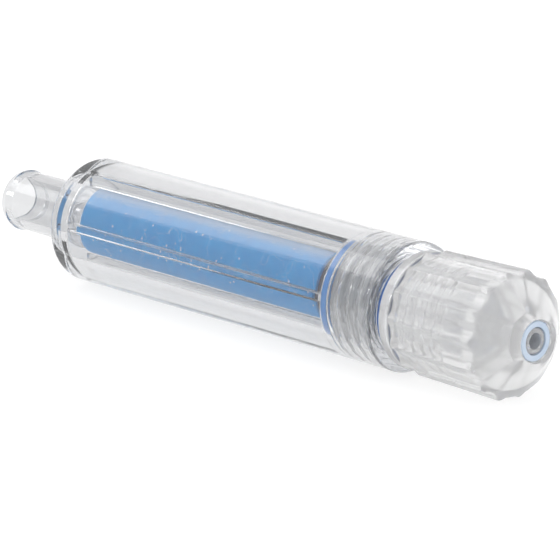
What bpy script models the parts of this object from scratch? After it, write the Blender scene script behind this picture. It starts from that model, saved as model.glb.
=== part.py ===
"""A carbon dioxide diffuser for an aquarium, lying along X with its gas nozzle towards +X.

A clear tube holds a porous blue sleeve between five ribs. A clear screw plug closes the tube and carries
the barbed gas nozzle, and a fluted nut clamps the gas hose on it. The X axis is the axis of every turned
piece and of both threads, and the middle of the object is at the origin.

Every size is in millimetres and is turned to metres where a mesh is made.
"""

import math

import bmesh
import bpy
from mathutils import Matrix, Vector

MM = 0.001
TURN = 2 * math.pi
SEGMENTS = 32  # sides of a round piece
GAP = 0.3  # clearance between pieces that touch
OVERSHOOT = 0.3  # how far a joined or cutting shape reaches past the surface it meets

# Driving dimensions
TOTAL_LENGTH = 114.9
BODY_RADIUS = 10.0
BODY_LENGTH = 71.5
WALL = 3.1
END_WALL = 2.0
SPIGOT_LENGTH = 18.4
SPIGOT_RADIUS = 4.8  # takes a hose of 9 mm bore
SPIGOT_BORE = 3.4
LIP_RISE = 0.15  # of the lip that holds the hose
CORE_RADIUS = 5.4
CORE_LENGTH = 53.6
CORE_BORE = 2.6
HOSE_RADIUS = 3.0  # the gas hose is 4 mm inside and 6 mm outside
NOZZLE_RADIUS = 2.0
NOZZLE_BORE = 1.2
NOZZLE_BARBS = 2
NUT_LENGTH = 21.2
NUT_RADIUS = 9.79
FLUTES = 14

# Places along the axis
SPIGOT_TIP = -TOTAL_LENGTH / 2
BODY_START = SPIGOT_TIP + SPIGOT_LENGTH
BODY_END = BODY_START + BODY_LENGTH
NOSE_END = TOTAL_LENGTH / 2
NUT_START = NOSE_END - NUT_LENGTH
CORE_START = BODY_START + END_WALL + 1.7
CORE_END = CORE_START + CORE_LENGTH

# The housing's bore, ribs and seal seat
BORE = BODY_RADIUS - WALL
RIB_RADIUS = CORE_RADIUS + 0.2
RIB_WIDTH = 1.0
RIBS = 5
FIRST_RIB = math.radians(14.4)
RIB_END = CORE_END + 2.3
SEAT_RADIUS = 7.45
SEAT_START = BODY_END - 11.25
SEAL_THICKNESS = 1.0
SEAL_RADIUS = SEAT_RADIUS - 0.2

# The inner seal is a flat ring round the core, and the flange seal a thin one round the plug's neck
SEAL_BORE = CORE_RADIUS + 0.5
FLANGE_SEAL_THICKNESS = 0.9
FLANGE_SEAL_RADIUS = 8.2

# The plug, from its inner face on
PLUG_START = SEAT_START + SEAL_THICKNESS + 2 * GAP - 0.1
NECK_START = BODY_END - 0.3
NECK_RADIUS = 6.4
FLANGE_START = BODY_END + 1.5
FLANGE_LENGTH = 2.0
FLANGE_RADIUS = 9.0
STUB_START = FLANGE_START + FLANGE_LENGTH
STUB_LENGTH = 8.3
STUB_CHAMFER = 0.5
NOZZLE_TIP = NOSE_END - GAP
STEM_POCKET = 5.0

# The nut, each place counted from its inner face
GRIP_START_RADIUS = 9.45
GRIP_LENGTH = 16.6  # the grip widens towards the nose
NUT_THREAD_END = 9.3
CAVITY_END = 13.8  # where the cone that squeezes the hose begins
CONE_END = 18.4
NOSE_CHAMFER = 0.6
NOSE_RADIUS = 5.0  # where the nose meets the chamfer round its flat face
NOSE_FACE_RADIUS = 4.1
FLUTE_RADIUS = 4.25
FLUTE_DEPTH = 0.7
FIRST_RIDGE = math.radians(21.2)  # turns the flutes to where they stand on the real nut

# The main thread, between housing and plug, and the nut's thread, between plug and nut: pitch, radii of the
# male thread's valley and crest, and radii of the female thread's crest and valley
MAIN_THREAD = {"pitch": 2.2, "male": (7.0, 7.65), "female": (7.25, 7.9), "base": 1.4, "slope": 0.6}
NUT_THREAD = {"pitch": 2.0, "male": (6.0, 6.6), "female": (6.25, 6.85), "base": 1.25, "slope": 0.6}
FLANK_GAP = 0.25
MAIN_HELIX_START = SEAT_START + 1.05  # each ridge and its groove are on one helix
NUT_HELIX_START = STUB_START - 0.4
MALE_FIRST_TURN = 0.75  # where the male ridges start, in turns along their helix

COLLECTION = "carbon_dioxide_diffuser"
CUTTERS = "joined_and_cutting_shapes"


def remove_all_objects():
    """Empties the scene."""
    for item in list(bpy.data.objects):
        bpy.data.objects.remove(item, do_unlink=True)


def new_collection(name):
    """A collection of its own in the scene."""
    collection = bpy.data.collections.new(name)
    bpy.context.scene.collection.children.link(collection)
    return collection


def plastic(name, color, roughness, alpha=1.0, transmission=0.0, ior=1.5):
    """A Principled material of one colour."""
    material = bpy.data.materials.new(name)
    material.use_nodes = True
    shader = material.node_tree.nodes["Principled BSDF"]
    shader.inputs["Base Color"].default_value = (*color, 1.0)
    shader.inputs["Roughness"].default_value = roughness
    shader.inputs["Metallic"].default_value = 0.0
    shader.inputs["Alpha"].default_value = alpha
    shader.inputs["Transmission Weight"].default_value = transmission
    shader.inputs["IOR"].default_value = ior
    return material


def add_object(name, mesh, collection, material=None, start=0.0):
    """An object on the axis, with its origin at a place along X."""
    item = bpy.data.objects.new(name, mesh)
    item.location.x = start * MM
    collection.objects.link(item)
    if material:
        mesh.materials.append(material)
    return item


def hide_shape(item):
    """Marks a shape that is only joined to, or cut from, another."""
    item.hide_render = True
    item.display_type = "WIRE"
    return item


def counter_clockwise(outline):
    """The outline's points in the order in which a turned shape faces outwards."""
    area = 0.0
    for (x0, r0), (x1, r1) in zip(outline, outline[1:] + outline[:1]):
        area += x0 * r1 - x1 * r0
    return outline if area > 0 else outline[::-1]


def turned(name, outline, collection, material=None, start=0.0, segments=SEGMENTS):
    """A ring-shaped solid, from the closed outline (x, radius) of its half section, turned about X."""
    half_side = math.pi / segments  # turns a side, and not a corner, to the bottom
    points = []
    for x, radius in counter_clockwise(outline):
        height = radius * math.sin(half_side)
        points.append((x * MM, radius * math.cos(half_side) * MM, height * MM))
    edges = [(i, (i + 1) % len(points)) for i in range(len(points))]
    mesh = bpy.data.meshes.new(name)
    mesh.from_pydata(points, edges, [])
    item = add_object(name, mesh, collection, material, start)
    screw = item.modifiers.new("turn", "SCREW")
    screw.axis = "X"
    screw.steps = segments
    screw.render_steps = segments
    screw.use_merge_vertices = True
    screw.merge_threshold = 0.00001
    return item


def arc(center, radius, from_deg, to_deg, count):
    """Points (x, radius) on an arc, its angles counted from +x towards the outside."""
    points = []
    for i in range(count + 1):
        angle = math.radians(from_deg + (to_deg - from_deg) * i / count)
        points.append((center[0] + radius * math.cos(angle), center[1] + radius * math.sin(angle)))
    return points


def helical_ridge(name, section, pitch, start, first_turn, turns, collection):
    """A right-handed ridge of a constant section (x, radius) on the helix that begins at start."""
    steps = round(SEGMENTS * turns)
    first_angle = first_turn * TURN  # keeps the ridge's corners off the corners of its shaft
    bm = bmesh.new()
    corners = []
    for x, radius in section:
        along = start + first_turn * pitch + x
        side = radius * math.cos(first_angle)
        height = radius * math.sin(first_angle)
        corners.append(bm.verts.new((along * MM, side * MM, height * MM)))
    face = bm.faces.new(corners)
    bmesh.ops.spin(
        bm,
        geom=[face, *face.edges, *face.verts],
        cent=(0, 0, 0),
        axis=(1, 0, 0),
        dvec=(pitch * MM * turns / steps, 0, 0),
        angle=TURN * turns,
        steps=steps,
    )
    bmesh.ops.holes_fill(bm, edges=[edge for edge in bm.edges if edge.is_boundary])
    bmesh.ops.recalc_face_normals(bm, faces=bm.faces)
    mesh = bpy.data.meshes.new(name)
    bm.to_mesh(mesh)
    bm.free()
    return hide_shape(add_object(name, mesh, collection))


def male_section(thread):
    """Half section of a male ridge, reaching down into the shaft it stands on."""
    valley, crest = thread["male"]
    half_base = thread["base"] / 2 + thread["slope"] * OVERSHOOT
    half_crest = thread["base"] / 2 - thread["slope"] * (crest - valley)
    foot = valley - OVERSHOOT
    return [(-half_base, foot), (half_base, foot), (half_crest, crest), (-half_crest, crest)]


def female_section(thread):
    """Half section of the groove that a male ridge runs in, reaching into the bore it opens to."""
    crest, valley = thread["female"]
    half_at_crest = thread["base"] / 2 - thread["slope"] * (crest - thread["male"][0]) + FLANK_GAP
    half_foot = half_at_crest + thread["slope"] * OVERSHOOT
    half_valley = half_at_crest - thread["slope"] * (valley - crest)
    foot = crest - OVERSHOOT
    return [(-half_foot, foot), (half_foot, foot), (half_valley, valley), (-half_valley, valley)]


def male_ridge(name, thread, start, turns, collection):
    """The ridge of a male thread, to be joined to its shaft."""
    section = male_section(thread)
    return helical_ridge(name, section, thread["pitch"], start, MALE_FIRST_TURN, turns, collection)


def female_groove(name, thread, start, turns, collection):
    """The shape of a female thread, to be cut from the wall of its bore."""
    section = female_section(thread)
    return helical_ridge(name, section, thread["pitch"], start, 0.0, turns, collection)


def male_turns(thread, start, end):
    """Turns, in quarters, of a male ridge that stays short of the end of its shaft."""
    length = end - start - thread["base"] / 2 - OVERSHOOT
    return math.floor(length / thread["pitch"] * 4) / 4 - MALE_FIRST_TURN


def apply_boolean(item, operation, other):
    """Joins another shape to an object, or cuts it from it."""
    modifier = item.modifiers.new(operation.lower(), "BOOLEAN")
    modifier.operation = operation
    modifier.solver = "EXACT"
    modifier.object = other


def rib_set(collection):
    """The long ribs that stand on the housing's wall and hold the core."""
    bm = bmesh.new()
    height = BORE + OVERSHOOT - RIB_RADIUS
    length = RIB_END - BODY_START - END_WALL + OVERSHOOT
    middle = BODY_START + END_WALL - OVERSHOOT + length / 2
    for i in range(RIBS):
        place = Matrix.Rotation(FIRST_RIB + i * TURN / RIBS, 4, "X")
        place = place @ Matrix.Translation(Vector((middle, 0, RIB_RADIUS + height / 2)) * MM)
        place = place @ Matrix.Diagonal((length * MM, RIB_WIDTH * MM, height * MM, 1.0))
        bmesh.ops.create_cube(bm, size=1.0, matrix=place)
    mesh = bpy.data.meshes.new("rib_shapes")
    bm.to_mesh(mesh)
    bm.free()
    return hide_shape(add_object("rib_shapes", mesh, collection))


def spigot_outline():
    """Outer side of the hose spigot from its tip: a rounded lip, then a long faint taper."""
    tip = -SPIGOT_LENGTH
    lip_start = tip + 0.4
    lip_end = tip + 2.2
    waist = tip + 3.0
    taper_end = tip + 8.0
    mid_lip = (lip_start + lip_end) / 2
    shoulder = SPIGOT_RADIUS - LIP_RISE
    points = [(tip, SPIGOT_BORE), (tip, shoulder - 0.4), (lip_start, shoulder + 0.1)]
    points += [(mid_lip - 0.2, SPIGOT_RADIUS + LIP_RISE), (mid_lip + 0.3, SPIGOT_RADIUS + LIP_RISE)]
    return points + [(lip_end, SPIGOT_RADIUS), (waist, SPIGOT_RADIUS - 0.02), (taper_end, SPIGOT_RADIUS)]


def make_housing(parts, cutters, material):
    """The clear tube: hose spigot, end wall, ribs, seal seat and inner thread."""
    crest = MAIN_THREAD["female"][0]
    chamfer = 0.3
    shoulder = 0.8  # rounding of the closed end
    rim = 0.5  # rounding of the open end
    fillet = 0.4
    seat = SEAT_START - BODY_START
    seat_end = seat + SEAL_THICKNESS + 2 * GAP
    outline = spigot_outline()
    outline += [(-fillet, SPIGOT_RADIUS), (0.0, SPIGOT_RADIUS + fillet)]
    outline += arc((shoulder, BODY_RADIUS - shoulder), shoulder, 180, 90, 4)
    outline += arc((BODY_LENGTH - rim, BODY_RADIUS - rim), rim, 90, 0, 3)
    outline += [(BODY_LENGTH, crest + chamfer), (BODY_LENGTH - chamfer, crest)]
    outline += [(seat_end, crest), (seat_end, SEAT_RADIUS)]
    outline += [(seat, SEAT_RADIUS), (seat, BORE), (END_WALL, BORE), (END_WALL, SPIGOT_BORE)]
    housing = turned("housing", outline, parts, material, BODY_START)
    apply_boolean(housing, "UNION", rib_set(cutters))
    turns = (BODY_END + 1.5 - MAIN_HELIX_START) / MAIN_THREAD["pitch"]
    groove = female_groove("housing_thread_shape", MAIN_THREAD, MAIN_HELIX_START, turns, cutters)
    apply_boolean(housing, "DIFFERENCE", groove)
    return housing


def make_seal(name, inner, outer, thickness, start, parts, material):
    """A flat ring with rounded edges."""
    edge = thickness * 0.2
    outline = [(0, inner), (0, outer - edge), (edge, outer)]
    outline += [(thickness - edge, outer), (thickness, outer - edge), (thickness, inner)]
    return turned(name, outline, parts, material, start)


def make_core(parts, material):
    """The porous sleeve."""
    edge = 0.25
    end = CORE_LENGTH
    outline = [(0, CORE_BORE), (0, CORE_RADIUS - edge), (edge, CORE_RADIUS)]
    outline += [(end - edge, CORE_RADIUS), (end, CORE_RADIUS - edge), (end, CORE_BORE)]
    return turned("diffuser_core", outline, parts, material, CORE_START)


def make_core_end_plug(parts, material):
    """The stopper that closes the sleeve's bore at its far end."""
    length = 3.0
    bm = bmesh.new()
    radius = (CORE_BORE - GAP) * MM
    turn = Matrix.Rotation(TURN / 4, 4, "Y")
    bmesh.ops.create_cone(
        bm, cap_ends=True, segments=SEGMENTS, radius1=radius, radius2=radius, depth=length * MM, matrix=turn
    )
    mesh = bpy.data.meshes.new("core_end_plug")
    bm.to_mesh(mesh)
    bm.free()
    mesh.shade_smooth()
    mesh.set_sharp_from_angle(angle=math.radians(30))
    return add_object("core_end_plug", mesh, parts, material, CORE_START + length / 2)


def make_core_gasket(parts, material):
    """The rubber bung on the sleeve's near end, with a thin lip where it meets the plug."""
    start = CORE_END + GAP
    length = PLUG_START - GAP - start
    outer = CORE_RADIUS - 0.1
    lip = outer - 0.4
    lip_length = 0.6
    outline = [(0, CORE_BORE), (0, outer - 0.3), (0.3, outer), (length - lip_length - 0.3, outer)]
    outline += [(length - lip_length, lip), (length, lip), (length, CORE_BORE)]
    return turned("core_gasket", outline, parts, material, start)


def make_gas_stem(parts, material):
    """The tube that leads the gas from the plug through the gasket into the sleeve."""
    depth_in_core = 5.5
    end_play = 1.0
    edge = 0.3
    start = CORE_END - depth_in_core
    length = PLUG_START + STEM_POCKET - end_play - start
    outer = CORE_BORE - GAP
    outline = [(0, NOZZLE_BORE), (0, outer - edge), (edge, outer), (length - edge, outer)]
    outline += [(length, outer - edge), (length, NOZZLE_BORE)]
    return turned("gas_stem", outline, parts, material, start)


def nozzle_outline(start, end):
    """Outer side of the barbed hose nozzle, from the stub's face to the nozzle's tip."""
    fillet = 0.4
    first_barb = 1.6
    barb_rise = 0.45
    barb_top = 0.4
    barb_length = 1.5
    barb_spacing = 4.1
    tip_edge = 0.3
    points = [(start, NOZZLE_RADIUS + fillet), (start + fillet, NOZZLE_RADIUS)]
    for i in range(NOZZLE_BARBS):
        foot = start + first_barb + i * barb_spacing
        points += [(foot, NOZZLE_RADIUS), (foot + 0.1, NOZZLE_RADIUS + barb_rise)]
        points += [(foot + barb_top, NOZZLE_RADIUS + barb_rise), (foot + barb_length, NOZZLE_RADIUS)]
    return points + [(end - tip_edge, NOZZLE_RADIUS), (end, NOZZLE_RADIUS - tip_edge)]


def make_plug(parts, cutters, material):
    """The clear screw plug: main thread, neck, flange, stub thread and gas nozzle."""
    root = MAIN_THREAD["male"][0]
    stub = NUT_THREAD["male"][0]
    neck = NECK_START - PLUG_START
    flange = FLANGE_START - PLUG_START
    flange_end = STUB_START - PLUG_START
    stub_end = flange_end + STUB_LENGTH
    tip = NOZZLE_TIP - PLUG_START
    chamfer = 0.5
    edge = 0.3
    outline = [(0, CORE_BORE), (0, root - chamfer), (chamfer, root), (neck - edge, root), (neck, NECK_RADIUS)]
    outline += [(flange, NECK_RADIUS), (flange, FLANGE_RADIUS - edge), (flange + edge, FLANGE_RADIUS)]
    outline += [(flange_end - edge, FLANGE_RADIUS), (flange_end, FLANGE_RADIUS - edge), (flange_end, stub)]
    outline += [(stub_end - STUB_CHAMFER, stub), (stub_end, stub - STUB_CHAMFER)]
    outline += nozzle_outline(stub_end, tip)
    outline += [(tip, NOZZLE_BORE), (STEM_POCKET, NOZZLE_BORE), (STEM_POCKET, CORE_BORE)]
    plug = turned("threaded_plug", outline, parts, material, PLUG_START)
    turns = male_turns(MAIN_THREAD, MAIN_HELIX_START, NECK_START)
    ridge = male_ridge("plug_thread_shape", MAIN_THREAD, MAIN_HELIX_START, turns, cutters)
    apply_boolean(plug, "UNION", ridge)
    turns = male_turns(NUT_THREAD, NUT_HELIX_START, STUB_START + STUB_LENGTH - STUB_CHAMFER)
    ridge = male_ridge("stub_thread_shape", NUT_THREAD, NUT_HELIX_START, turns, cutters)
    apply_boolean(plug, "UNION", ridge)
    return plug


def flute_set(collection):
    """The long round cutters that hollow the nut's grip."""
    grip_angle = math.atan2(NUT_RADIUS - GRIP_START_RADIUS, GRIP_LENGTH)
    distance = NUT_RADIUS - FLUTE_DEPTH + FLUTE_RADIUS
    bm = bmesh.new()
    for i in range(FLUTES):
        place = Matrix.Rotation(FIRST_RIDGE + (i + 0.5) * TURN / FLUTES, 4, "X")
        place = place @ Matrix.Translation(Vector((NUT_START + GRIP_LENGTH, distance, 0)) * MM)
        place = place @ Matrix.Rotation(grip_angle + TURN / 4, 4, "Z")
        place = place @ Matrix.Rotation(TURN / 4, 4, "X")
        bmesh.ops.create_cone(
            bm,
            cap_ends=True,
            segments=20,
            radius1=FLUTE_RADIUS * MM,
            radius2=FLUTE_RADIUS * MM,
            depth=3 * NUT_LENGTH * MM,
            matrix=place,
        )
    mesh = bpy.data.meshes.new("flute_shapes")
    bm.to_mesh(mesh)
    bm.free()
    return hide_shape(add_object("flute_shapes", mesh, collection))


def make_nut(parts, cutters, material):
    """The clear fluted nut: grip, conical nose, inner thread and the cone that squeezes the hose."""
    cavity = NUT_THREAD["female"][1] + 0.1
    crest = NUT_THREAD["female"][0]
    hole = HOSE_RADIUS + 0.1
    edge = 0.3
    mouth = 0.6  # depth of the wider mouth before the thread
    outline = [(0, cavity), (0, GRIP_START_RADIUS - edge), (edge, GRIP_START_RADIUS)]
    outline += [(GRIP_LENGTH - edge, NUT_RADIUS), (GRIP_LENGTH, NUT_RADIUS)]
    outline += [(GRIP_LENGTH + edge, NUT_RADIUS - edge), (NUT_LENGTH - NOSE_CHAMFER, NOSE_RADIUS)]
    outline += [(NUT_LENGTH, NOSE_FACE_RADIUS), (NUT_LENGTH, hole)]
    outline += [(CONE_END, hole), (CAVITY_END, cavity), (NUT_THREAD_END, cavity), (NUT_THREAD_END, crest)]
    outline += [(mouth + 0.4, crest), (mouth, cavity)]
    nut = turned("clamp_nut", outline, parts, material, NUT_START, segments=FLUTES * 4)
    apply_boolean(nut, "DIFFERENCE", flute_set(cutters))
    turns = (NUT_THREAD_END + 1.5) / NUT_THREAD["pitch"]
    groove = female_groove("nut_thread_shape", NUT_THREAD, NUT_HELIX_START, turns, cutters)
    apply_boolean(nut, "DIFFERENCE", groove)
    return nut


def make_clamp_ring(parts, material):
    """The blue ring in the nut's nose, which is squeezed on the gas hose."""
    length = 2.7
    recess = 0.15  # behind the nose's face
    inner = NOZZLE_RADIUS + 0.2
    outer = HOSE_RADIUS - 0.1
    edge = 0.3
    lip = 0.1
    outline = [(0, inner), (0, outer - edge), (edge, outer), (length - lip, outer), (length, outer - lip)]
    outline += [(length, inner)]
    return turned("hose_clamp_ring", outline, parts, material, NOSE_END - recess - length)


def joint_empty(name, start, collection, parent=None):
    """An empty on the axis, which a moving group hangs from."""
    empty = bpy.data.objects.new(name, None)
    empty.empty_display_size = 5 * MM
    collection.objects.link(empty)
    empty.location.x = start * MM
    if parent:
        empty.parent = parent
        empty.location.x -= parent.location.x
    return empty


def hang(items, empty, empty_start):
    """Parents objects to an empty and keeps them where they are."""
    for item in items:
        item.parent = empty
        item.location.x -= empty_start * MM


def main():
    remove_all_objects()
    parts = new_collection(COLLECTION)
    cutters = new_collection(CUTTERS)

    clear = plastic("clear_plastic", (0.92, 0.93, 0.94), 0.08, 0.35, 1.0, 1.57)
    porous = plastic("blue_porous", (0.07, 0.27, 0.62), 0.75)
    bright = plastic("blue_silicone", (0.02, 0.22, 0.75), 0.4)
    navy = plastic("navy_silicone", (0.02, 0.07, 0.25), 0.4)
    rubber = plastic("dark_rubber", (0.01, 0.015, 0.04), 0.6)
    ring_blue = plastic("blue_clamp", (0.10, 0.22, 0.45), 0.35)
    white = plastic("white_plastic", (0.75, 0.76, 0.76), 0.4)

    make_housing(parts, cutters, clear)
    make_seal("plug_seal", SEAL_BORE, SEAL_RADIUS, SEAL_THICKNESS, SEAT_START + GAP - 0.05, parts, bright)

    cartridge = [make_core(parts, porous), make_core_end_plug(parts, porous)]
    cartridge += [make_core_gasket(parts, rubber), make_gas_stem(parts, white)]

    plug = [make_plug(parts, cutters, clear)]
    inner = NECK_RADIUS + GAP
    start = BODY_END + GAP
    plug += [make_seal("flange_seal", inner, FLANGE_SEAL_RADIUS, FLANGE_SEAL_THICKNESS, start, parts, navy)]
    ring = make_clamp_ring(parts, ring_blue)
    nut = make_nut(parts, cutters, clear)

    cartridge_slide = joint_empty("cartridge_slide", CORE_START, cutters)
    plug_turn = joint_empty("plug_turn", PLUG_START, cutters, cartridge_slide)
    clamp_slide = joint_empty("clamp_slide", NUT_START, cutters)
    hang(cartridge, cartridge_slide, CORE_START)
    hang(plug, plug_turn, PLUG_START)
    hang([ring, nut], clamp_slide, NUT_START)


main()
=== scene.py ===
"""The looks of a clear carbon dioxide diffuser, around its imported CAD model.

Every turned piece is rebuilt here as one fine surface: a rounded half section turned about the X axis, with
its thread, flutes or ribs as real relief. Sizes are in millimetres and are turned to metres in the meshes.
"""

import math

import bmesh
import bpy
import numpy as np
from mathutils import Matrix, Vector


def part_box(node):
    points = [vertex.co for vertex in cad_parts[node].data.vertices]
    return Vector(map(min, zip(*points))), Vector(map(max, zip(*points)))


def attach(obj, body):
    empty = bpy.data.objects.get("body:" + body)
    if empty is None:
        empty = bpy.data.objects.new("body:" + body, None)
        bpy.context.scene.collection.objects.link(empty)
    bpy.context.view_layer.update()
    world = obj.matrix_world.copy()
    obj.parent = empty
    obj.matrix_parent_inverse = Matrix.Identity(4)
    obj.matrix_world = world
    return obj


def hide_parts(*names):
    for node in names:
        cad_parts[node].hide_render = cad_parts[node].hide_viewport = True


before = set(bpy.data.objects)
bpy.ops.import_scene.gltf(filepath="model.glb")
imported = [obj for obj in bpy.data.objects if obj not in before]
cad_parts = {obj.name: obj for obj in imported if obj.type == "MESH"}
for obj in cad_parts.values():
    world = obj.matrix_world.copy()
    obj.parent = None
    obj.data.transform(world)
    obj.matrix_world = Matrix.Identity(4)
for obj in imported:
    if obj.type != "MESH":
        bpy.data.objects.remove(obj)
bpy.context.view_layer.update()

MM = 0.001
TURN = 2 * math.pi
ANGLES = 192  # sides of a round piece
THREAD_STEP = 0.1  # length of the faces along a thread
FLOOR_SIZE = 3.0  # metres

# Sizes that the frame's boxes don't give
SPIGOT_LENGTH = 18.4
SPIGOT_RADIUS = 4.8
SPIGOT_BORE = 3.4
WALL = 3.1
END_WALL = 2.0
RIB_WIDTH = 1.0
RIBS = 5
FIRST_RIB = math.radians(14.4)
RIB_RADIUS = 5.6
RIB_PAST_CORE = 2.3
SEAT_RADIUS = 7.45
SEAT_DEPTH = 11.25
SEAT_LENGTH = 1.6
CORE_BORE = 2.6
NOZZLE_BORE = 1.2
NOZZLE_RADIUS = 2.0
NOZZLE_BARBS = 2
STEM_POCKET = 5.0
NECK_RADIUS = 6.4
FLANGE_OFFSET = 1.5  # from the housing's rim
FLANGE_LENGTH = 2.0
FLANGE_RADIUS = 9.0
STUB_LENGTH = 8.3
LIP_RADIUS = 5.0  # of the spigot's rounded lip
WAIST_RADIUS = 4.68  # behind the lip

# The nut, each place counted from its inner face
NUT_RADIUS = 9.79
GRIP_START_RADIUS = 9.45
GRIP_LENGTH = 16.6  # the grip widens towards the nose
MOUTH = 0.6  # depth of the wider mouth before the thread
MOUTH_END = 1.0
NUT_THREAD_END = 9.3
CAVITY_END = 13.8
CONE_END = 18.4
NUT_HOLE = 3.1
NOSE_FACE_RADIUS = 4.35
FLUTES = 14
FLUTE_RADIUS = 4.25
FLUTE_DEPTH = 0.7
FIRST_RIDGE = math.radians(21.2)

PLASTIC_IOR = 1.5
SPIGOT_PAINTED_SHADE = (0.70, 0.705, 0.715)  # painted shade: a greyer tint on the spigot's thin wall

# Both threads: pitch, radii of valley and crest, and where their common helix starts
MAIN_THREAD = {"pitch": 2.2, "male": (7.0, 7.65), "female": (7.25, 7.9), "base": 1.4, "slope": 0.6}
NUT_THREAD = {"pitch": 2.0, "male": (6.0, 6.6), "female": (6.25, 6.85), "base": 1.25, "slope": 0.6}
FLANK_GAP = 0.25
MALE_FIRST_TURN = 0.75


def span(node):
    """Where a node starts and ends along X, and its greatest radius, in millimetres."""
    low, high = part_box(node)
    return low[0] / MM, high[0] / MM, min(high[1], high[2]) / MM


SPIGOT_TIP, BODY_END, BODY_RADIUS = span("housing")
BODY_START = SPIGOT_TIP + SPIGOT_LENGTH
BORE = BODY_RADIUS - WALL
PLUG_START, NOZZLE_TIP, _ = span("threaded_plug")
NUT_START, NOSE_END, _ = span("clamp_nut")
CORE_START, CORE_END, CORE_RADIUS = span("diffuser_core")
SEAT_START = BODY_END - SEAT_DEPTH
FLANGE_START = BODY_END + FLANGE_OFFSET
STUB_START = FLANGE_START + FLANGE_LENGTH
MAIN_THREAD["start"] = SEAT_START + 1.05
NUT_THREAD["start"] = STUB_START - 0.4


# ---------------------------------------------------------------- shapes


def unit(v):
    """A 2D vector's direction, and its length."""
    length = math.hypot(*v)
    return (v[0] / length, v[1] / length), length


def rounded(corners, steps=5):
    """A closed outline (x, radius) with its corners rounded.

    Each corner is (x, radius) or (x, radius, rounding). An extra point on each side of a rounding keeps the
    shading of the long straight stretches even.
    """
    default = 0.12
    longest_share = 0.4  # of the stretch beside it that a rounding may take
    points = []
    count = len(corners)
    for i, corner in enumerate(corners):
        rounding = corner[2] if len(corner) > 2 else default
        before = corners[i - 1]
        after = corners[(i + 1) % count]
        back, back_length = unit((before[0] - corner[0], before[1] - corner[1]))
        ahead, ahead_length = unit((after[0] - corner[0], after[1] - corner[1]))
        cosine = max(-0.999, min(0.999, back[0] * ahead[0] + back[1] * ahead[1]))
        tangent = rounding / math.tan(math.acos(cosine) / 2)
        tangent = min(tangent, longest_share * back_length, longest_share * ahead_length)
        support = 1.25 * tangent
        points.append((corner[0] + back[0] * support, corner[1] + back[1] * support))
        for s in range(steps + 1):
            t = s / steps
            a, b = tangent * (1 - t) ** 2, tangent * t**2
            points.append((corner[0] + back[0] * a + ahead[0] * b, corner[1] + back[1] * a + ahead[1] * b))
        points.append((corner[0] + ahead[0] * support, corner[1] + ahead[1] * support))
    return points


def refined(points, low, high, step=THREAD_STEP):
    """The outline with points no more than a step apart on its long stretches between low and high."""
    result = []
    for (x0, r0), (x1, r1) in zip(points, points[1:] + points[:1]):
        result.append((x0, r0))
        if abs(x1 - x0) < 2 * step:
            continue
        first, last = sorted((max(min(x0, x1), low), min(max(x0, x1), high)))
        if last - first < step or min(x0, x1) > high or max(x0, x1) < low:
            continue
        count = int((last - first) / step)
        inner = [first + (last - first) * k / count for k in range(count + 1)]
        inner = [x for x in inner if min(x0, x1) + 0.2 * step < x < max(x0, x1) - 0.2 * step]
        for x in inner if x1 > x0 else inner[::-1]:
            result.append((x, r0 + (r1 - r0) * (x - x0) / (x1 - x0)))
    return result


def turned(name, points, relief=None, angles=ANGLES):
    """A closed surface from a closed half section (x, radius) turned about X, with relief in its radius."""
    outline = np.array(points)
    following = np.roll(outline, -1, axis=0)
    area = np.sum(outline[:, 0] * following[:, 1] - following[:, 0] * outline[:, 1])
    if area < 0:
        outline = outline[::-1]
    theta = np.arange(angles) * TURN / angles
    x, turn = np.meshgrid(outline[:, 0], theta, indexing="ij")
    radius = np.repeat(outline[:, 1][:, None], angles, axis=1)
    if relief:
        radius = relief(x, turn, radius)
    places = np.stack([x, radius * np.cos(turn), radius * np.sin(turn)], axis=-1).reshape(-1, 3) * MM
    count = len(outline)
    i, j = np.meshgrid(np.arange(count), np.arange(angles), indexing="ij")
    next_i = (i + 1) % count
    next_j = (j + 1) % angles
    faces = [i * angles + j, next_i * angles + j, next_i * angles + next_j, i * angles + next_j]
    faces = np.stack(faces, axis=-1).reshape(-1, 4)
    mesh = bpy.data.meshes.new(name)
    mesh.from_pydata(places.tolist(), [], faces.tolist())
    mesh.shade_smooth()
    item = bpy.data.objects.new(name, mesh)
    bpy.context.scene.collection.objects.link(item)
    return item


def smooth_step(value):
    """0 to 1 with soft ends."""
    value = np.clip(value, 0.0, 1.0)
    return value * value * (3.0 - 2.0 * value)


def helix_height(x, turn, thread, half_foot, half_top, first, last):
    """Height, 0 to 1, of a right-handed ridge on a thread's helix, between two places in turns."""
    phase = (x - thread["start"]) / thread["pitch"] - turn / TURN
    nearest = np.round(phase)
    offset = np.abs(phase - nearest) * thread["pitch"]
    height = smooth_step((half_foot - offset) / (half_foot - half_top))
    place = nearest + turn / TURN
    fade = 0.18
    ends = smooth_step((place - first) / fade) * smooth_step((last - place) / fade)
    return height * ends


def male_thread(thread, end):
    """Relief of a male thread that stops short of a place along X."""
    valley, crest = thread["male"]
    half_foot = thread["base"] / 2 + 0.05
    half_top = thread["base"] / 2 - thread["slope"] * (crest - valley) - 0.05
    last = (end - thread["start"] - half_foot) / thread["pitch"]

    def relief(x, turn, radius):
        on_shaft = np.abs(radius - valley) < 0.02
        height = helix_height(x, turn, thread, half_foot, half_top, MALE_FIRST_TURN, last)
        return radius + on_shaft * height * (crest - valley)

    return relief


def female_thread(thread, low, high):
    """Relief of a female thread in a bore, between two places along X."""
    crest, valley = thread["female"]
    half_foot = thread["base"] / 2 - thread["slope"] * (crest - thread["male"][0]) + FLANK_GAP
    half_top = half_foot - thread["slope"] * (valley - crest)

    def relief(x, turn, radius):
        on_bore = (radius < valley) & (x > low) & (x < high)
        height = helix_height(x, turn, thread, half_foot, half_top, -1.0, 20.0)
        groove = crest + height * (valley - crest)
        return np.where(on_bore, np.maximum(radius, groove), radius)

    return relief


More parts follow.
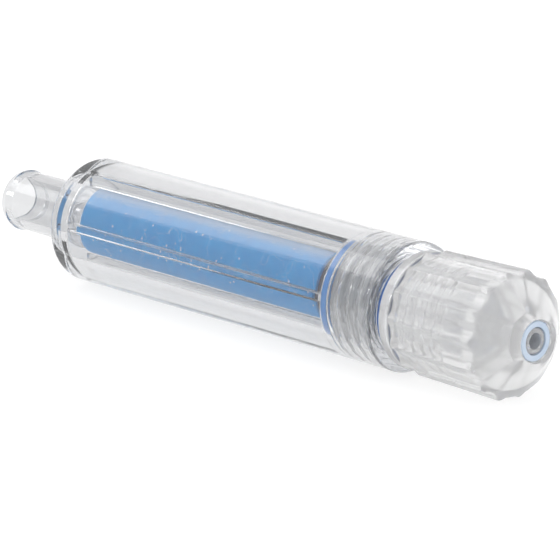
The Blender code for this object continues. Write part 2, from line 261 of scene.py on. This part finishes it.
def join_shape(item, other):
    """Joins a shape to an object for good."""
    modifier = item.modifiers.new("join", "BOOLEAN")
    modifier.operation = "UNION"
    modifier.solver = "EXACT"
    modifier.object = other
    bpy.context.view_layer.update()
    mesh = bpy.data.meshes.new_from_object(item.evaluated_get(bpy.context.evaluated_depsgraph_get()))
    item.modifiers.clear()
    item.data = mesh
    bpy.data.objects.remove(other, do_unlink=True)


def rib_shapes():
    """Long ribs with rounded edges, that reach into the housing's wall and end wall."""
    reach = 0.4
    edge = 0.16
    height = BORE + reach - RIB_RADIUS
    start = BODY_START + END_WALL - reach
    end = CORE_END + RIB_PAST_CORE
    bm = bmesh.new()
    for i in range(RIBS):
        place = Matrix.Rotation(FIRST_RIB + i * TURN / RIBS, 4, "X")
        middle = Vector(((start + end) / 2, 0, RIB_RADIUS + height / 2)) * MM
        place = place @ Matrix.Translation(middle)
        place = place @ Matrix.Diagonal(((end - start) * MM, RIB_WIDTH * MM, height * MM, 1.0))
        bmesh.ops.create_cube(bm, size=1.0, matrix=place)
    bmesh.ops.bevel(
        bm,
        geom=bm.edges[:],
        offset=edge * MM,
        segments=3,
        profile=0.5,
        affect="EDGES",
    )
    mesh = bpy.data.meshes.new("rib_shapes")
    bm.to_mesh(mesh)
    bm.free()
    item = bpy.data.objects.new("rib_shapes", mesh)
    bpy.context.scene.collection.objects.link(item)
    return item


def spigot_corners():
    """Outer side of the hose spigot from its tip: a rounded lip, a waist and a plain stretch."""
    tip = SPIGOT_TIP
    corners = [(tip, SPIGOT_BORE, 0.2), (tip, LIP_RADIUS - 0.85, 0.35), (tip + 0.5, LIP_RADIUS - 0.3, 0.5)]
    corners += [(tip + 1.5, LIP_RADIUS, 0.8), (tip + 3.0, WAIST_RADIUS, 1.0)]
    return corners + [(tip + 5.0, SPIGOT_RADIUS, 1.6), (BODY_START, SPIGOT_RADIUS, 0.45)]


def make_housing():
    """The clear tube with spigot, ribs, seal seat and inner thread."""
    crest = MAIN_THREAD["female"][0]
    seat_end = SEAT_START + SEAT_LENGTH
    corners = spigot_corners()
    corners += [(BODY_START, BODY_RADIUS, 0.75)]
    corners += [(BODY_END, BODY_RADIUS, 0.5), (BODY_END, crest + 0.3), (BODY_END - 0.3, crest)]
    corners += [(seat_end, crest), (seat_end, SEAT_RADIUS), (SEAT_START, SEAT_RADIUS), (SEAT_START, BORE)]
    corners += [(BODY_START + END_WALL, BORE, 0.6), (BODY_START + END_WALL, SPIGOT_BORE, 0.3)]
    points = refined(rounded(corners), seat_end, BODY_END)
    thread = female_thread(MAIN_THREAD, seat_end, BODY_END + THREAD_STEP)
    housing = turned("housing_clear", points, thread)
    join_shape(housing, rib_shapes())
    housing.data.shade_smooth()
    housing.data.set_sharp_from_angle(angle=math.radians(40))
    return housing


def nozzle_corners(start):
    """Outer side of the nozzle with its barbs, from the stub's face to the tip."""
    first_barb = 1.6
    barb_spacing = 4.1
    barb_radius = NOZZLE_RADIUS + 0.45
    corners = [(start, NOZZLE_RADIUS, 0.4)]
    for i in range(NOZZLE_BARBS):
        foot = start + first_barb + barb_spacing * i
        corners += [(foot, NOZZLE_RADIUS, 0.1), (foot + 0.1, barb_radius, 0.12)]
        corners += [(foot + 0.4, barb_radius, 0.15), (foot + 1.5, NOZZLE_RADIUS, 0.3)]
    return corners + [(NOZZLE_TIP, NOZZLE_RADIUS, 0.25), (NOZZLE_TIP, NOZZLE_BORE, 0.15)]


def make_plug():
    """The clear plug: main thread, neck, flange, stub thread and barbed nozzle."""
    root = MAIN_THREAD["male"][0]
    stub = NUT_THREAD["male"][0]
    neck = BODY_END - 0.3
    stub_end = STUB_START + STUB_LENGTH
    corners = [(PLUG_START, CORE_BORE, 0.2), (PLUG_START, root, 0.35), (neck - 0.3, root)]
    corners += [(neck, NECK_RADIUS), (FLANGE_START, NECK_RADIUS), (FLANGE_START, FLANGE_RADIUS, 0.25)]
    corners += [(STUB_START, FLANGE_RADIUS, 0.25), (STUB_START, stub, 0.15), (stub_end, stub, 0.4)]
    corners += nozzle_corners(stub_end)
    corners += [(PLUG_START + STEM_POCKET, NOZZLE_BORE), (PLUG_START + STEM_POCKET, CORE_BORE)]
    points = refined(rounded(corners), PLUG_START, neck)
    points = refined(points, STUB_START, stub_end)
    main_relief = male_thread(MAIN_THREAD, neck)
    stub_relief = male_thread(NUT_THREAD, stub_end - 0.5)

    def relief(x, turn, radius):
        return np.where(x < FLANGE_START, main_relief(x, turn, radius), stub_relief(x, turn, radius))

    return turned("plug_clear", points, relief)


def flute_relief(x, turn, radius):
    """Hollow flutes in the nut's grip, with rounded ridges between them."""
    taper = (NUT_RADIUS - GRIP_START_RADIUS) / GRIP_LENGTH
    grip_end = NUT_START + GRIP_LENGTH
    distance = NUT_RADIUS - FLUTE_DEPTH + FLUTE_RADIUS + (x - grip_end) * taper
    spacing = TURN / FLUTES
    offset = (turn - FIRST_RIDGE) / spacing
    delta = (offset - np.floor(offset) - 0.5) * spacing
    inside = np.maximum(FLUTE_RADIUS**2 - (distance * np.sin(delta)) ** 2, 0.0)
    cut = distance * np.cos(delta) - np.sqrt(inside)
    cut = np.where(inside > 0, cut, radius + 1.0)
    softness = 0.12
    blend = np.clip(0.5 + 0.5 * (cut - radius) / softness, 0.0, 1.0)
    soft = cut * (1 - blend) + radius * blend - softness * blend * (1 - blend)
    outer_side = 7.5  # radius past which only the nut's outer side lies
    return np.where(radius > outer_side, soft, radius)


def make_nut():
    """The clear fluted nut with its thread, cavity and cone."""
    crest = NUT_THREAD["female"][0]
    cavity = NUT_THREAD["female"][1] + 0.1
    thread_start = NUT_START + MOUTH - 0.1
    thread_end = NUT_START + NUT_THREAD_END
    fine_from = NUT_START + 15.0  # the nose has a finer mesh
    corners = [(NUT_START, cavity, 0.2), (NUT_START, GRIP_START_RADIUS, 0.25)]
    corners += [(NUT_START + GRIP_LENGTH, NUT_RADIUS, 0.6), (NOSE_END - 0.1, NOSE_FACE_RADIUS, 1.6)]
    corners += [(NOSE_END, NUT_HOLE, 0.4), (NUT_START + CONE_END, NUT_HOLE, 0.3)]
    corners += [(NUT_START + CAVITY_END, cavity, 0.6), (thread_end, cavity), (thread_end, crest)]
    corners += [(NUT_START + MOUTH_END, crest), (NUT_START + MOUTH, cavity)]
    points = rounded(corners, steps=7)
    points = refined(points, thread_start, thread_end)
    points = refined(points, fine_from, NOSE_END, step=0.3)
    thread = female_thread(NUT_THREAD, thread_start, thread_end)

    def relief(x, turn, radius):
        return flute_relief(x, turn, thread(x, turn, radius))

    return turned("nut_clear", points, relief, angles=FLUTES * 20)


def make_ring(name, node, inner, rounding, squeeze=0.0):
    """A ring with rounded edges that fills a CAD node's place, and bulges a little where it is squeezed."""
    start, end, outer = span(node)
    start -= squeeze
    outer += squeeze
    corners = [(start, inner), (start, outer, rounding), (end, outer, rounding), (end, inner)]
    return turned(name, rounded(corners))


def make_core():
    """The porous sleeve, with a fine uneven skin."""
    corners = [(CORE_START, CORE_BORE, 0.2), (CORE_START, CORE_RADIUS, 0.25)]
    corners += [(CORE_END, CORE_RADIUS, 0.25), (CORE_END, CORE_BORE, 0.2)]
    points = refined(rounded(corners), CORE_START, CORE_END, step=0.4)

    def relief(x, turn, radius):
        swell = 0.012 * np.sin(x * 1.7 + 2.0 * np.sin(turn * 2)) + 0.01 * np.sin(x * 4.3 + turn * 3)
        return radius + (radius > CORE_RADIUS - 0.05) * (swell - 0.022)

    return turned("core_porous", points, relief, angles=128)


def make_gasket():
    """The rubber bung on the sleeve's near end."""
    start, end, outer = span("core_gasket")
    lip = 4.9
    corners = [(start, CORE_BORE), (start, outer, 0.3), (end - 0.9, outer, 0.2), (end - 0.6, lip, 0.2)]
    corners += [(end, lip), (end, CORE_BORE)]
    return turned("gasket_rubber", rounded(corners), angles=96)


# ---------------------------------------------------------------- materials


def new_material(name):
    """A node material, its shader, and short ways to add a node and to link two."""
    material = bpy.data.materials.new(name)
    material.use_nodes = True
    tree = material.node_tree
    shader = tree.nodes["Principled BSDF"]

    def node(kind, **settings):
        made = tree.nodes.new(kind)
        for key, value in settings.items():
            if hasattr(made, key):
                setattr(made, key, value)
            else:
                made.inputs[key.replace("_", " ")].default_value = value
        return made

    def link(a, a_socket, b, b_socket):
        tree.links.new(a.outputs[a_socket], b.inputs[b_socket])

    return material, shader, node, link


def ramp(node, stops):
    """A colour ramp with (place, grey or colour) stops."""
    made = node("ShaderNodeValToRGB")
    elements = made.color_ramp.elements
    while len(elements) < len(stops):
        elements.new(0.5)
    for element, (place, colour) in zip(elements, stops):
        element.position = place
        colour = (colour,) * 3 if isinstance(colour, float) else colour
        element.color = (*colour, 1.0)
    return made


def clear_plastic(name, tint, clarity, density, rough, painted_shade_before=None):
    """Clear, slightly milky plastic with faint flow waves and handling marks.

    Before a place along X, if it is given, the thin wall of a spigot is greyer: painted shade.
    """
    material, shader, node, link = new_material(name)
    shader.inputs["Base Color"].default_value = (*tint, 1.0)
    shader.inputs["Transmission Weight"].default_value = clarity
    shader.inputs["IOR"].default_value = PLASTIC_IOR
    place = node("ShaderNodeTexCoord")
    # painted shade: before the given place the plastic gets a greyer tint
    if painted_shade_before is not None:
        split = node("ShaderNodeSeparateXYZ")
        link(place, "Object", split, "Vector")
        along = node("ShaderNodeMapRange")
        along.inputs["From Min"].default_value = (painted_shade_before - 1.0) * MM
        along.inputs["From Max"].default_value = (painted_shade_before + 1.5) * MM
        link(split, "X", along, "Value")
        shade = ramp(node, [(0.0, SPIGOT_PAINTED_SHADE), (1.0, tint)])
        link(along, "Result", shade, "Fac")
        link(shade, "Color", shader, "Base Color")
    marks = node("ShaderNodeTexNoise", Scale=2600.0, Detail=4.0, Roughness=0.65)
    link(place, "Object", marks, "Vector")
    dull = ramp(node, [(0.35, rough[0]), (0.68, rough[1])])
    link(marks, "Fac", dull, "Fac")
    link(dull, "Color", shader, "Roughness")
    flow = node("ShaderNodeTexNoise", Scale=220.0, Detail=2.0)
    link(place, "Object", flow, "Vector")
    bump = node("ShaderNodeBump", Strength=0.02, Distance=0.0002)
    link(flow, "Fac", bump, "Height")
    link(bump, "Normal", shader, "Normal")
    absorb = node("ShaderNodeVolumeAbsorption", Density=density)
    absorb.inputs["Color"].default_value = (0.5, 0.52, 0.55, 1.0)
    output = material.node_tree.nodes["Material Output"]
    link(absorb, "Volume", output, "Volume")
    return material


def dust_specks(node, link, place):
    """Small round specks on some of the cells of a Voronoi pattern, 0 to 1."""
    specks = node("ShaderNodeTexVoronoi", Scale=800.0, Randomness=1.0)
    link(place, "Object", specks, "Vector")
    spots = ramp(node, [(0.09, 1.0), (0.17, 0.0)])
    link(specks, "Distance", spots, "Fac")
    chosen = ramp(node, [(0.52, 0.0), (0.56, 1.0)])
    link(specks, "Color", chosen, "Fac")
    dust = node("ShaderNodeMath", operation="MULTIPLY")
    link(spots, "Color", dust, 0)
    link(chosen, "Color", dust, 1)
    return dust


def dust_hairs(node, link, place):
    """Short curved hairs, 0 to 1: thin contours of one noise, kept only in the patches of another."""
    tangle = node("ShaderNodeTexNoise", Scale=330.0, Detail=1.0)
    link(place, "Object", tangle, "Vector")
    hairs = ramp(node, [(0.492, 0.0), (0.498, 0.8), (0.502, 0.8), (0.508, 0.0)])
    link(tangle, "Fac", hairs, "Fac")
    patches = node("ShaderNodeTexNoise", Scale=420.0, Detail=1.0)
    link(place, "Generated", patches, "Vector")
    short = ramp(node, [(0.50, 0.0), (0.56, 1.0)])
    link(patches, "Fac", short, "Fac")
    hair = node("ShaderNodeMath", operation="MULTIPLY")
    link(hairs, "Color", hair, 0)
    link(short, "Color", hair, 1)
    return hair


def painted_top_highlight(node, link, colour):
    """The colour under a painted pale highlight where the surface faces up."""
    side = node("ShaderNodeNewGeometry")
    split = node("ShaderNodeSeparateXYZ")
    link(side, "Normal", split, "Vector")
    # painted highlight: the more the surface faces up, the more of the pale colour
    top_highlight = ramp(node, [(0.80, 0.0), (0.93, 0.55)])
    link(split, "Z", top_highlight, "Fac")
    veil = node("ShaderNodeMix", data_type="RGBA")
    # colour of the painted highlight, a pale lavender
    veil.inputs["B"].default_value = (0.52, 0.58, 0.70, 1.0)
    link(top_highlight, "Color", veil, "Factor")
    link(colour, "Color", veil, "A")
    return veil


def porous_blue():
    """Sintered blue plastic: fine grain, soft mottling, a painted pale highlight on its upper side, and
    dust specks and hairs.
    """
    material, shader, node, link = new_material("porous_blue")
    place = node("ShaderNodeTexCoord")
    mottle = node("ShaderNodeTexNoise", Scale=500.0, Detail=5.0, Roughness=0.7)
    link(place, "Object", mottle, "Vector")
    colour = ramp(node, [(0.3, (0.006, 0.350, 0.86)), (0.7, (0.020, 0.450, 0.98))])
    link(mottle, "Fac", colour, "Fac")
    litter = node("ShaderNodeMath", operation="MAXIMUM")
    link(dust_specks(node, link, place), "Value", litter, 0)
    link(dust_hairs(node, link, place), "Value", litter, 1)
    mix = node("ShaderNodeMix", data_type="RGBA")
    mix.inputs["B"].default_value = (0.78, 0.84, 0.92, 1.0)
    link(litter, "Value", mix, "Factor")
    link(painted_top_highlight(node, link, colour), "Result", mix, "A")
    link(mix, "Result", shader, "Base Color")
    grain = node("ShaderNodeTexNoise", Scale=5200.0, Detail=3.0)
    link(place, "Object", grain, "Vector")
    bump = node("ShaderNodeBump", Strength=0.5, Distance=0.00008)
    link(grain, "Fac", bump, "Height")
    link(bump, "Normal", shader, "Normal")
    rough = ramp(node, [(0.3, 0.55), (0.7, 0.8)])
    link(mottle, "Fac", rough, "Fac")
    link(rough, "Color", shader, "Roughness")
    return material


def add_grain(shader, node, link, place, low, high):
    """Fine moulded grain, as bump and as roughness between two values."""
    grain = node("ShaderNodeTexNoise", Scale=1800.0, Detail=3.0)
    link(place, "Object", grain, "Vector")
    finish = ramp(node, [(0.3, low), (0.7, high)])
    link(grain, "Fac", finish, "Fac")
    link(finish, "Color", shader, "Roughness")
    bump = node("ShaderNodeBump", Strength=0.15, Distance=0.00005)
    link(grain, "Fac", bump, "Height")
    link(bump, "Normal", shader, "Normal")


def moulded(name, dark, light, rough):
    """Opaque moulded rubber or plastic between two shades."""
    material, shader, node, link = new_material(name)
    place = node("ShaderNodeTexCoord")
    cloud = node("ShaderNodeTexNoise", Scale=350.0, Detail=3.0)
    link(place, "Object", cloud, "Vector")
    colour = ramp(node, [(0.35, dark), (0.65, light)])
    link(cloud, "Fac", colour, "Fac")
    link(colour, "Color", shader, "Base Color")
    add_grain(shader, node, link, place, rough - 0.08, rough + 0.08)
    return material


def rubber_with_painted_lit_faces(name, side_colour, painted_lit_face_colour):
    """Dark rubber whose flat end faces are paler: painted light on faces that would lie in shade."""
    material, shader, node, link = new_material(name)
    geometry = node("ShaderNodeNewGeometry")
    split = node("ShaderNodeSeparateXYZ")
    link(geometry, "Normal", split, "Vector")
    facing = node("ShaderNodeMath", operation="ABSOLUTE")
    link(split, "X", facing, 0)
    # painted light: faces along X get a pale colour, the sides keep the dark rubber
    colour = ramp(node, [(0.80, side_colour), (0.95, painted_lit_face_colour)])
    link(facing, "Value", colour, "Fac")
    link(colour, "Color", shader, "Base Color")
    place = node("ShaderNodeTexCoord")
    add_grain(shader, node, link, place, 0.40, 0.55)
    return material


def floor_white():
    """The pale studio floor."""
    material, shader, node, link = new_material("floor_white")
    place = node("ShaderNodeTexCoord")
    cloud = node("ShaderNodeTexNoise", Scale=3.0, Detail=2.0)
    link(place, "Object", cloud, "Vector")
    colour = ramp(node, [(0.3, 0.28), (0.7, 0.30)])
    link(cloud, "Fac", colour, "Fac")
    link(colour, "Color", shader, "Base Color")
    shader.inputs["Roughness"].default_value = 0.9
    shader.inputs["Specular IOR Level"].default_value = 0.1
    shader.inputs["Emission Color"].default_value = (1.0, 1.0, 1.0, 1.0)
    shader.inputs["Emission Strength"].default_value = 0.78
    return material


# ---------------------------------------------------------------- the object


def place_piece(item, material, body, node):
    """Gives a piece its material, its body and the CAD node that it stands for."""
    item.data.materials.clear()
    item.data.materials.append(material)
    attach(item, body)
    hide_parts(node)


def build_object():
    """Every piece of the diffuser."""
    body_tint = (0.82, 0.825, 0.833)
    clear = clear_plastic("clear_body", body_tint, 0.97, 5.0, (0.012, 0.05), painted_shade_before=BODY_START)
    clear_plug = clear_plastic("clear_plug", (0.985, 0.99, 1.0), 0.76, 1.0, (0.03, 0.10))
    satin = clear_plastic("clear_nut", (0.95, 0.951, 0.953), 0.78, 4.0, (0.12, 0.21))
    porous = porous_blue()
    bright = moulded("blue_silicone", (0.020, 0.30, 0.88), (0.030, 0.36, 0.95), 0.35)
    navy = moulded("navy_silicone", (0.030, 0.10, 0.34), (0.045, 0.14, 0.42), 0.4)
    rubber = rubber_with_painted_lit_faces("dark_rubber", (0.006, 0.012, 0.045), (0.42, 0.50, 0.62))
    clamp = moulded("blue_clamp", (0.48, 0.58, 0.71), (0.56, 0.65, 0.77), 0.35)
    white = moulded("white_stem", (0.84, 0.90, 0.96), (0.88, 0.93, 0.98), 0.4)

    place_piece(make_housing(), clear, "housing_body", "housing")
    seal = make_ring("inner_seal_ring", "plug_seal", CORE_RADIUS + 0.5, 0.2, squeeze=0.15)
    place_piece(seal, bright, "housing_body", "plug_seal")
    place_piece(make_core(), porous, "cartridge", "diffuser_core")
    stopper = make_ring("core_stopper", "core_end_plug", 0.05, 0.2)
    place_piece(stopper, porous, "cartridge", "core_end_plug")
    place_piece(make_gasket(), rubber, "cartridge", "core_gasket")
    stem = make_ring("gas_stem_tube", "gas_stem", NOZZLE_BORE, 0.25)
    place_piece(stem, white, "cartridge", "gas_stem")
    place_piece(make_plug(), clear_plug, "plug", "threaded_plug")
    seal = make_ring("flange_seal_ring", "flange_seal", NECK_RADIUS + 0.3, 0.3)
    place_piece(seal, navy, "plug", "flange_seal")
    ring = make_ring("clamp_ring_blue", "hose_clamp_ring", NOZZLE_RADIUS + 0.1, 0.2, squeeze=0.12)
    place_piece(ring, clamp, "clamp", "hose_clamp_ring")
    place_piece(make_nut(), satin, "nut", "clamp_nut")


# ---------------------------------------------------------------- studio


def add_area_light(name, direction, distance, size, power):
    """A soft light, in metres and watts, at a distance in a direction from the object, facing it."""
    data = bpy.data.lights.new(name, "AREA")
    data.shape = "RECTANGLE"
    data.size, data.size_y = size
    data.energy = power
    item = bpy.data.objects.new(name, data)
    bpy.context.scene.collection.objects.link(item)
    toward = Vector(direction).normalized()
    item.location = toward * distance
    item.rotation_euler = toward.to_track_quat("Z", "Y").to_euler()


def build_world():
    """A soft dome, white at the horizon and below, and a touch greyer above it."""
    world = bpy.data.worlds.new("studio_dome")
    bpy.context.scene.world = world
    world.use_nodes = True
    tree = world.node_tree
    background = tree.nodes["Background"]
    place = tree.nodes.new("ShaderNodeTexCoord")
    split = tree.nodes.new("ShaderNodeSeparateXYZ")
    shade = tree.nodes.new("ShaderNodeValToRGB")
    tree.links.new(place.outputs["Generated"], split.inputs["Vector"])
    tree.links.new(split.outputs["Z"], shade.inputs["Fac"])
    tree.links.new(shade.outputs["Color"], background.inputs["Color"])
    elements = shade.color_ramp.elements
    just_above = 0.12
    elements.new(just_above)
    stops = [(0.0, (1.0, 1.0, 1.0)), (just_above, (0.94, 0.94, 0.945)), (1.0, (0.96, 0.96, 0.97))]
    for element, (height, colour) in zip(elements, stops):
        element.position = height
        element.color = (*colour, 1.0)
    background.inputs["Strength"].default_value = 1.0


def build_floor():
    """A wide pale floor that the tube lies on."""
    mesh = bpy.data.meshes.new("studio_floor")
    bm = bmesh.new()
    bmesh.ops.create_grid(bm, x_segments=8, y_segments=8, size=FLOOR_SIZE / 2)
    bm.to_mesh(mesh)
    bm.free()
    floor = bpy.data.objects.new("studio_floor", mesh)
    bpy.context.scene.collection.objects.link(floor)
    floor.location.z = -BODY_RADIUS * MM
    mesh.materials.append(floor_white())


def build_camera():
    """A long lens, 46.6 degrees round from the front towards the nozzle and 15.4 degrees up."""
    azimuth = math.radians(46.6)
    elevation = math.radians(15.4)
    distance = 0.6642
    middle = Vector((4.15, 0.0, 0.0)) * MM  # the place on the axis at the middle of the view
    drop = 1.45 * MM  # how far below the axis the view is centred
    back = Vector(
        (
            math.sin(azimuth) * math.cos(elevation),
            -math.cos(azimuth) * math.cos(elevation),
            math.sin(elevation),
        )
    )
    right = Vector((math.cos(azimuth), math.sin(azimuth), 0.0))
    up = back.cross(right)
    along = Vector((right.x, up.x, 0.0)).normalized()  # the object's axis in the picture
    target = middle + drop * (along.y * right - along.x * up)
    data = bpy.data.cameras.new("photo_view")
    data.lens = 279.6
    data.sensor_width = 36.0
    data.clip_start = 0.01
    camera = bpy.data.objects.new("photo_view", data)
    bpy.context.scene.collection.objects.link(camera)
    camera.location = target + back * distance
    camera.rotation_euler = back.to_track_quat("Z", "Y").to_euler()
    bpy.context.scene.camera = camera


def build_studio():
    """Floor, dome, lights, camera and the ray depth that clear plastic needs."""
    build_floor()
    build_world()
    add_area_light("key_strip", (-0.70, -0.25, 0.67), 0.8, (0.35, 0.60), 1.1)
    add_area_light("window", (-0.45, -0.80, 0.40), 0.8, (0.14, 0.14), 1.2)
    add_area_light("top_soft", (0.15, 0.1, 1.0), 1.0, (1.2, 0.9), 2.0)
    build_camera()
    scene = bpy.context.scene
    scene.view_settings.view_transform = "Standard"
    cycles = scene.cycles
    cycles.max_bounces = 40
    cycles.transmission_bounces = 40
    cycles.glossy_bounces = 12
    cycles.diffuse_bounces = 4
    cycles.caustics_refractive = True
    cycles.caustics_reflective = True


build_object()
build_studio()
